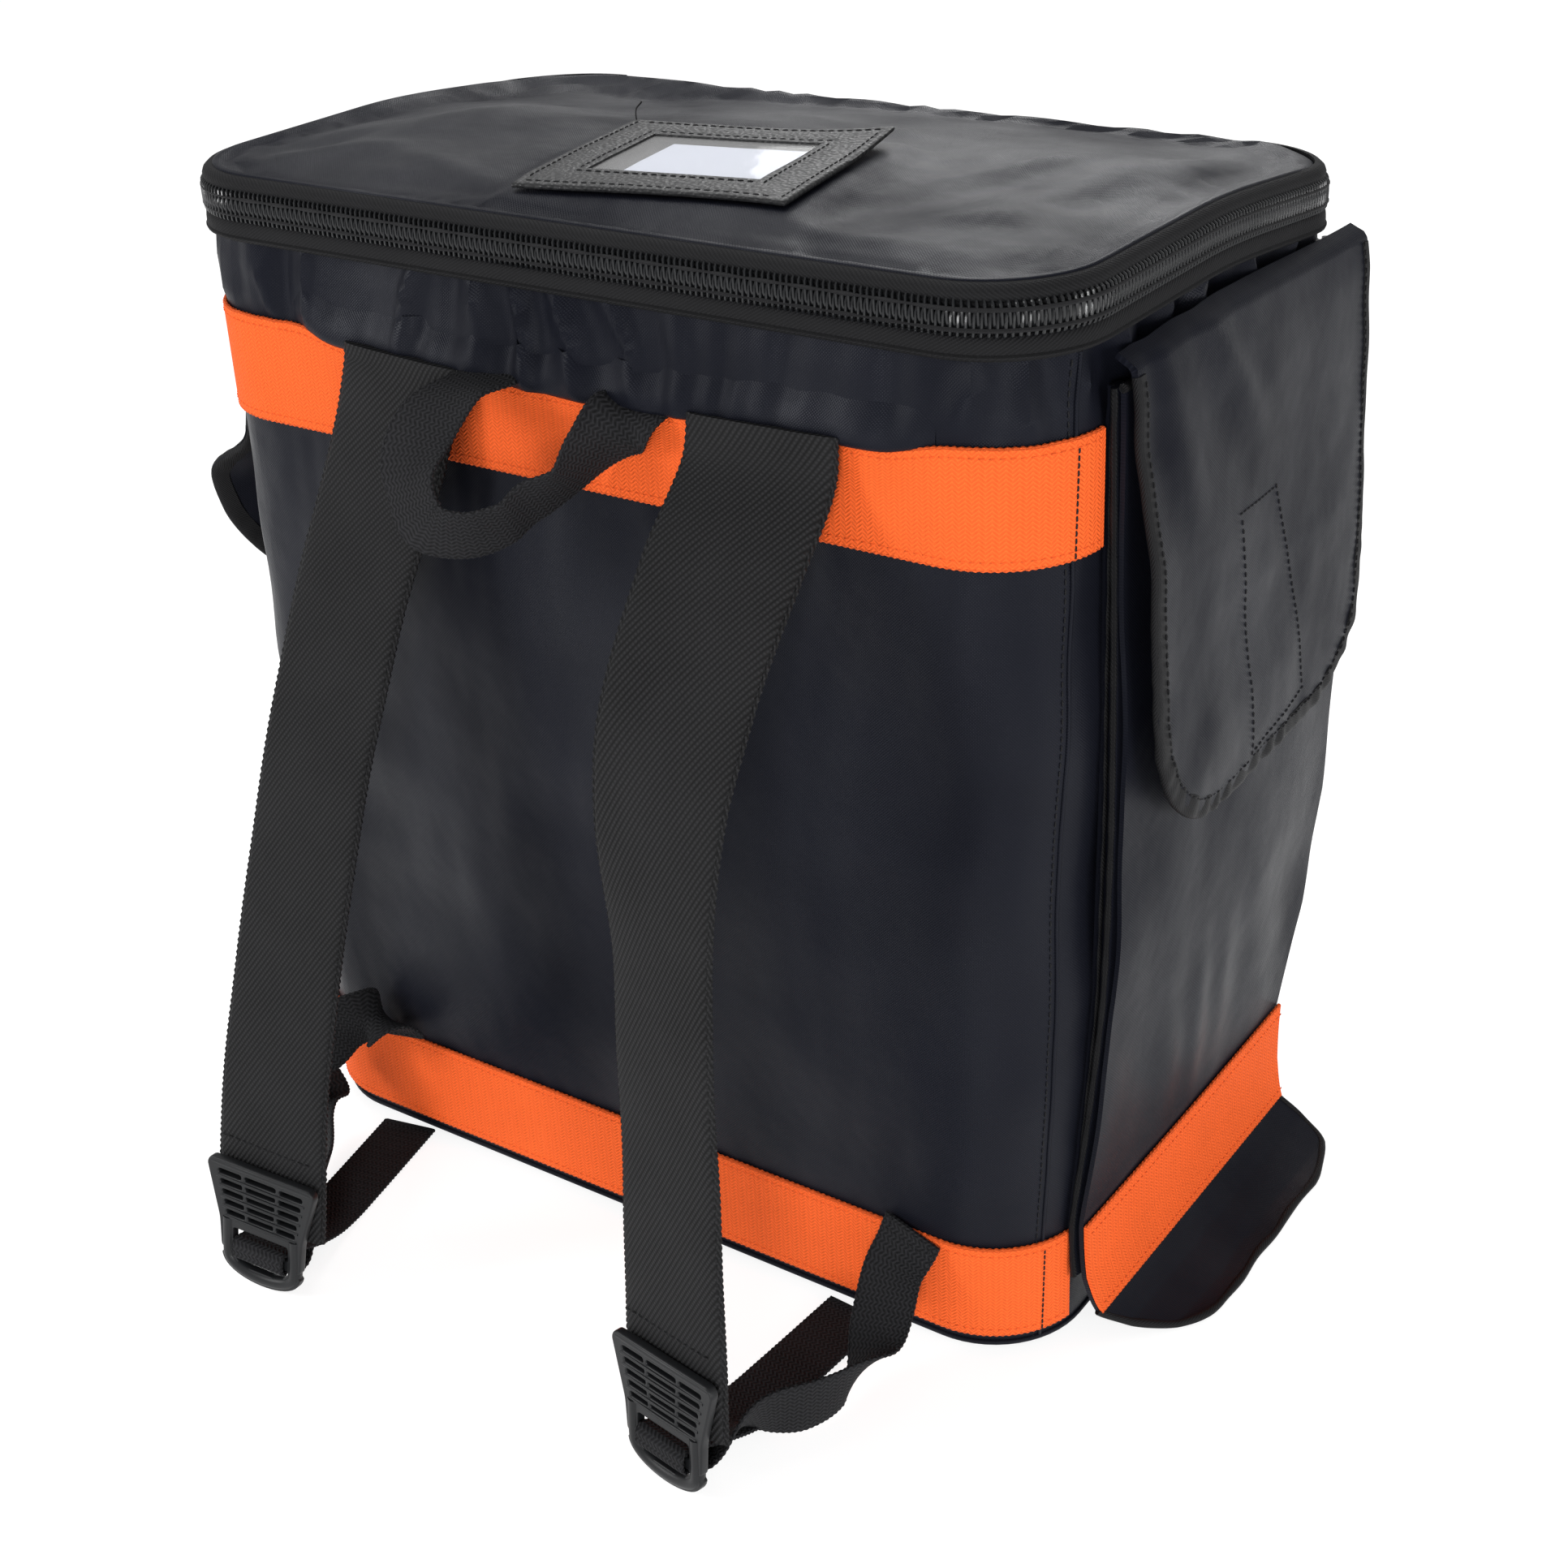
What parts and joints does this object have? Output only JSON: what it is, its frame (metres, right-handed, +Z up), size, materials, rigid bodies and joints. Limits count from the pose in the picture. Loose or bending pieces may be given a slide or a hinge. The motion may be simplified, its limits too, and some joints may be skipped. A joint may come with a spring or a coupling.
{
  "type": "tool backpack",
  "caption": "Upright soft tool backpack with a zipped lid, twin harness straps with ladder-lock buckles, flapped side pockets and a label holder on top.",
  "frame": {"origin": "middle of the bag's flat base, on the surface it stands on", "axes": "+Z up; -Y is the wearer's side with the harness straps; +X is to the right for someone facing that side"},
  "size_m": [0.4527, 0.3815, 0.43],
  "materials": {
    "body_cloth": "coated nylon, soft sheen",
    "lid_cloth": "coated nylon, soft sheen",
    "pocket_cloth": "coated nylon, soft sheen",
    "flap_cloth": "coated nylon, soft sheen",
    "orange_webbing": "matte herringbone weave",
    "strap_weave": "coarse diagonal weave",
    "black_webbing": "basket weave",
    "binding_tape": "ribbed tape",
    "zip_tape": "twill",
    "zip_coil": "glossy nylon coil",
    "slider": "black satin enamel",
    "buckle_plastic": "satin moulded",
    "label_leather": "fine grain, half gloss",
    "card": "plain matte",
    "clear_window": "clear flexible film"
  },
  "bodies": {
    "root": {"body_shell": "body_cloth", "top_band": "orange_webbing", "top_band_front": "orange_webbing", "bottom_band": "orange_webbing", "bottom_band_front": "orange_webbing", "lid_panel": "lid_cloth", "zip_tape_lower": "zip_tape", "zip_tape_upper": "zip_tape", "zip_chain": "zip_coil", "lid_hinge": "body_cloth", "zip_slider": "slider", "shoulder_strap_left": "strap_weave", "buckle_left": "buckle_plastic", "lower_webbing_left": "black_webbing", "shoulder_strap_right": "strap_weave", "buckle_right": "buckle_plastic", "lower_webbing_right": "black_webbing", "carry_loop": "black_webbing", "label_frame": "label_leather", "label_card": "card", "label_window": "clear_window", "pocket_panel_left": "pocket_cloth", "pocket_band_left": "orange_webbing", "pocket_fold_near_left": "pocket_cloth", "pocket_fold_far_left": "pocket_cloth", "pocket_flap_left": "flap_cloth", "flap_binding_left": "binding_tape", "pocket_panel_right": "pocket_cloth", "pocket_band_right": "orange_webbing", "pocket_fold_near_right": "pocket_cloth", "pocket_fold_far_right": "pocket_cloth", "pocket_flap_right": "flap_cloth", "flap_binding_right": "binding_tape", "front_pocket": "body_cloth", "front_pocket_zip": "zip_coil", "front_pocket_slider": "slider"}
  },
  "joints": []
}
